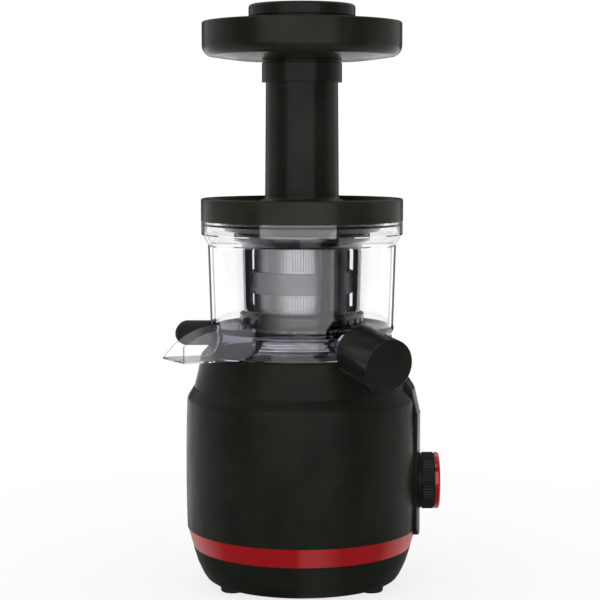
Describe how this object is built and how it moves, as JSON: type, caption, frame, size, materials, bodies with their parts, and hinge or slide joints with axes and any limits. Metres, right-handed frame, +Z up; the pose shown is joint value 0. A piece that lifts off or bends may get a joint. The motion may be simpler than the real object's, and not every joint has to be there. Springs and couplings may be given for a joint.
{
  "type": "cold press juicer",
  "caption": "Upright slow juicer: motor base with speed knob, clear bowl with strainer, wiper and screw, pulp chute, turning juice tap, lid with feed tube, hopper tray and pusher.",
  "frame": {"origin": "on the table under the axis of the drive shaft", "axes": "+Z up along the drive shaft, -Y the front with the outlets, +X the side with the speed knob"},
  "size_m": [0.1938, 0.1971, 0.4102],
  "materials": {
    "housing_black": "deep glossy black with a green tinge",
    "part_black": "glossy black",
    "soft_black": "matt black rubber",
    "red_metallic": "metallic red",
    "clear_smoke": "clear plastic with a light smoke tint",
    "dark_smoke": "see-through dark grey plastic",
    "silicone": "matt translucent silicone",
    "mesh_steel": "fine perforated steel",
    "steel": "machined steel",
    "die_cast": "cast aluminium",
    "core_steel": "laminated core steel",
    "copper": "varnished copper wire",
    "nylon": "natural nylon",
    "grey_plastic": "glass filled grey plastic",
    "board_green": "circuit board",
    "bronze": "sintered bronze",
    "screw_black": "dark moulded screw"
  },
  "bodies": {
    "base": {"upper_housing": "housing_black", "base_pan": "housing_black", "trim_ring": "red_metallic", "rubber_feet": "soft_black", "pan_screws": "steel", "control_panel": "housing_black", "rotary_switch": "grey_plastic", "control_board": "board_green", "run_capacitor": "nylon", "cord_gland": "soft_black", "interlock_sensor": "grey_plastic", "motor_stator": "core_steel", "motor_windings": "copper", "motor_lower_bracket": "die_cast", "motor_upper_bracket": "die_cast", "motor_bearings": "steel", "motor_bolts": "steel", "gearbox_case": "grey_plastic", "gearbox_bridge": "steel", "gearbox_cover": "grey_plastic", "gearbox_screws": "steel", "idle_axle": "steel", "lower_bush": "bronze", "output_bearing": "steel", "hub_seal": "silicone"},
    "drive": {"output_gear": "steel", "drive_shaft": "steel"},
    "reduction": {"reduction_gear": "nylon"},
    "rotor": {"motor_rotor": "core_steel", "motor_fan": "nylon", "motor_pinion": "steel"},
    "knob": {"knob": "part_black", "knob_ring": "red_metallic", "switch_shaft": "steel"},
    "bowl": {"bowl": "clear_smoke", "bowl_base": "clear_smoke", "bowl_grip": "part_black", "shaft_seal": "silicone", "bowl_magnet": "steel", "pulp_plug": "silicone", "pulp_chute": "clear_smoke", "tap_seal": "silicone", "idler_pin": "steel", "strainer_frame": "dark_smoke", "strainer_mesh": "mesh_steel"},
    "tap": {"tap_cap": "part_black"},
    "idler": {"idler_gear": "nylon"},
    "wiper": {"wiper_frame": "dark_smoke", "wiper_blades": "silicone"},
    "screw": {"auger": "screw_black", "auger_socket": "steel", "auger_pin": "steel"},
    "lid": {"lid": "part_black", "lid_funnel": "part_black", "feed_tube": "part_black", "lid_seal": "silicone", "top_bush": "bronze"},
    "tray": {"hopper_tray": "part_black"},
    "pusher": {"pusher_stem": "part_black", "pusher_cap": "part_black"}
  },
  "joints": [
    {"name": "bowl_lift", "type": "slide", "parent": "base", "child": "bowl", "axis": [0, 0, 1], "range_m": [0, 0.09]},
    {"name": "lid_lift", "type": "slide", "parent": "bowl", "child": "lid", "axis": [0, 0, 1], "range_m": [0, 0.08]},
    {"name": "tray_lift", "type": "slide", "parent": "lid", "child": "tray", "axis": [0, 0, 1], "range_m": [0, 0.06]},
    {"name": "pusher_lift", "type": "slide", "parent": "tray", "child": "pusher", "axis": [0, 0, 1], "range_m": [0, 0.15]},
    {"name": "tap_turn", "type": "hinge", "parent": "bowl", "child": "tap", "pos_m": [0.05674, -0.10152, 0.1684], "axis": [-0.4819, 0.8622, 0.1564], "range_deg": [0, 90]},
    {"name": "knob_turn", "type": "hinge", "parent": "base", "child": "knob", "pos_m": [0.09, 0, 0.0732], "axis": [1, 0, 0], "range_deg": [-60, 60]},
    {"name": "drive_spin", "type": "hinge", "parent": "base", "child": "drive", "pos_m": [0, 0, 0.15], "axis": [0, 0, 1], "continuous": true},
    {"name": "reduction_spin", "type": "hinge", "parent": "base", "child": "reduction", "pos_m": [0, 0.0375, 0.13], "axis": [0, 0, 1], "continuous": true},
    {"name": "motor_spin", "type": "hinge", "parent": "base", "child": "rotor", "pos_m": [0, 0, 0.08], "axis": [0, 0, 1], "continuous": true},
    {"name": "auger_spin", "type": "hinge", "parent": "bowl", "child": "screw", "pos_m": [0, 0, 0.21], "axis": [0, 0, 1], "continuous": true},
    {"name": "idler_spin", "type": "hinge", "parent": "bowl", "child": "idler", "pos_m": [0.02384, 0.01268, 0.187], "axis": [0, 0, 1], "continuous": true},
    {"name": "wiper_spin", "type": "hinge", "parent": "bowl", "child": "wiper", "pos_m": [0, 0, 0.21], "axis": [0, 0, 1], "continuous": true}
  ],
  "couplings": [
    {"joint": "reduction_spin", "follows": "drive_spin", "ratio": -4},
    {"joint": "motor_spin", "follows": "drive_spin", "ratio": 16},
    {"joint": "auger_spin", "follows": "drive_spin", "ratio": 1},
    {"joint": "idler_spin", "follows": "drive_spin", "ratio": -2},
    {"joint": "wiper_spin", "follows": "drive_spin", "ratio": -0.5}
  ]
}
